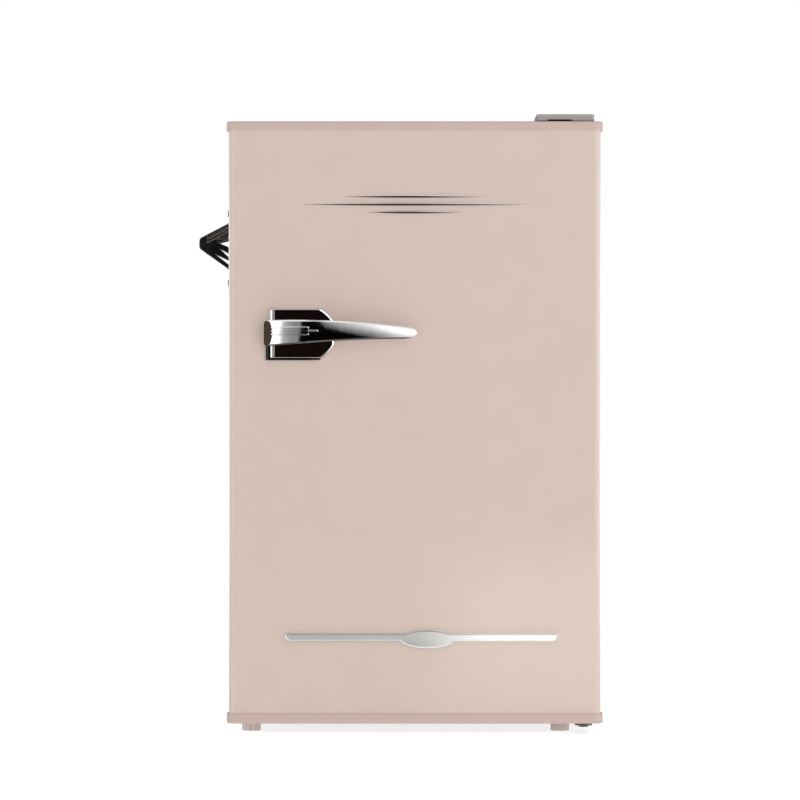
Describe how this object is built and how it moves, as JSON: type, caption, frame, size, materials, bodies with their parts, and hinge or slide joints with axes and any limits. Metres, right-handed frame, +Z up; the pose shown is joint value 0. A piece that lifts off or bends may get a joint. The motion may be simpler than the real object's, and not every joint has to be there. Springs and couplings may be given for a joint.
{
  "type": "compact refrigerator",
  "caption": "Free-standing retro compact refrigerator with a hinged door, chrome blade handle, chiller flap, glass shelves and a bottle opener on its side.",
  "frame": {"origin": "on the floor, under the middle of the whole object's bounding box", "axes": "+Z up, -Y towards the user and the door's front, +X to the right and towards the hinges"},
  "size_m": [0.5196, 0.485, 0.7915],
  "materials": {
    "enamelled_steel": "gloss",
    "cap_plastic": "satin",
    "hinge_cover_plastic": "satin",
    "galvanised_steel": "spangled",
    "white_polystyrene": "gloss",
    "flap_plastic": "gloss",
    "foam": "matte",
    "copper": "satin",
    "evaporator_aluminium": "satin",
    "nylon": "satin",
    "shelf_glass": "polished",
    "clear_bin_plastic": "gloss",
    "compressor_enamel": "semi-gloss",
    "rubber": "matte",
    "gasket_rubber": "matte",
    "magnet_strip": "matte",
    "zinc_steel": "zinc plated",
    "foot_plastic": "satin",
    "dark_plastic": "satin",
    "chrome": "mirror",
    "inlay_black": "gloss",
    "opener_black_chrome": "polished",
    "knob_plastic": "gloss"
  },
  "bodies": {
    "cabinet": {"back_panel": "galvanised_steel", "back_panel_screws": "zinc_steel", "base_pan": "galvanised_steel", "bottom_hinge_bracket": "zinc_steel", "bottom_hinge_pin": "zinc_steel", "bottom_hinge_screws": "zinc_steel", "cabinet_shell": "enamelled_steel", "chiller_frame": "white_polystyrene", "compressor": "compressor_enamel", "compressor_bolts": "zinc_steel", "compressor_grommets": "rubber", "condenser_tubes": "copper", "drain_spout": "dark_plastic", "drip_tray": "white_polystyrene", "evaporation_tray": "dark_plastic", "evaporator": "evaporator_aluminium", "evaporator_hangers": "nylon", "filter_drier": "copper", "foot_nuts": "zinc_steel", "hinge_washer": "nylon", "inner_liner": "white_polystyrene", "insulation_foam": "foam", "lower_shelf": "shelf_glass", "lower_shelf_trim": "white_polystyrene", "machine_room_panel": "galvanised_steel", "opener_body": "opener_black_chrome", "opener_screws": "opener_black_chrome", "rear_feet": "foot_plastic", "refrigerant_lines": "copper", "start_relay": "dark_plastic", "thermostat_housing": "white_polystyrene", "thermostat_switch": "dark_plastic", "top_hinge_bracket": "zinc_steel", "top_hinge_cover": "hinge_cover_plastic", "top_hinge_pin": "zinc_steel", "top_hinge_screws": "zinc_steel", "upper_shelf": "shelf_glass", "upper_shelf_trim": "white_polystyrene"},
    "door": {"door_panel": "enamelled_steel", "door_top_cap": "cap_plastic", "door_bottom_cap": "cap_plastic", "door_foam": "foam", "door_liner": "white_polystyrene", "door_gasket": "gasket_rubber", "gasket_magnets": "magnet_strip", "lower_door_bin": "clear_bin_plastic", "middle_door_bin": "clear_bin_plastic", "upper_door_bin": "clear_bin_plastic", "hinge_bushes": "nylon", "handle_plate": "chrome", "handle_inlay": "inlay_black", "handle_lever": "chrome", "handle_screws": "zinc_steel", "lower_trim": "chrome"},
    "chiller_flap": {"chiller_flap": "flap_plastic"},
    "thermostat_knob": {"thermostat_knob": "knob_plastic", "thermostat_spindle": "zinc_steel"},
    "front_left_foot": {"front_left_foot": "foot_plastic"},
    "front_right_foot": {"front_right_foot": "foot_plastic"}
  },
  "joints": [
    {"name": "door_swing", "type": "hinge", "parent": "cabinet", "child": "door", "pos_m": [0.23575, -0.18455, 0.015], "axis": [0, 0, 1], "range_deg": [0, 120]},
    {"name": "chiller_flap_swing", "type": "hinge", "parent": "cabinet", "child": "chiller_flap", "pos_m": [-0.02025, -0.03535, 0.72], "axis": [-1, 0, 0], "range_deg": [0, 85]},
    {"name": "thermostat_turn", "type": "hinge", "parent": "cabinet", "child": "thermostat_knob", "pos_m": [0.17775, -0.04855, 0.6897], "axis": [0, -1, 0], "range_deg": [0, 270]},
    {"name": "front_left_foot_level", "type": "slide", "parent": "cabinet", "child": "front_left_foot", "axis": [0, 0, -1], "range_m": [0, 0.01]},
    {"name": "front_right_foot_level", "type": "slide", "parent": "cabinet", "child": "front_right_foot", "axis": [0, 0, -1], "range_m": [0, 0.01]}
  ]
}
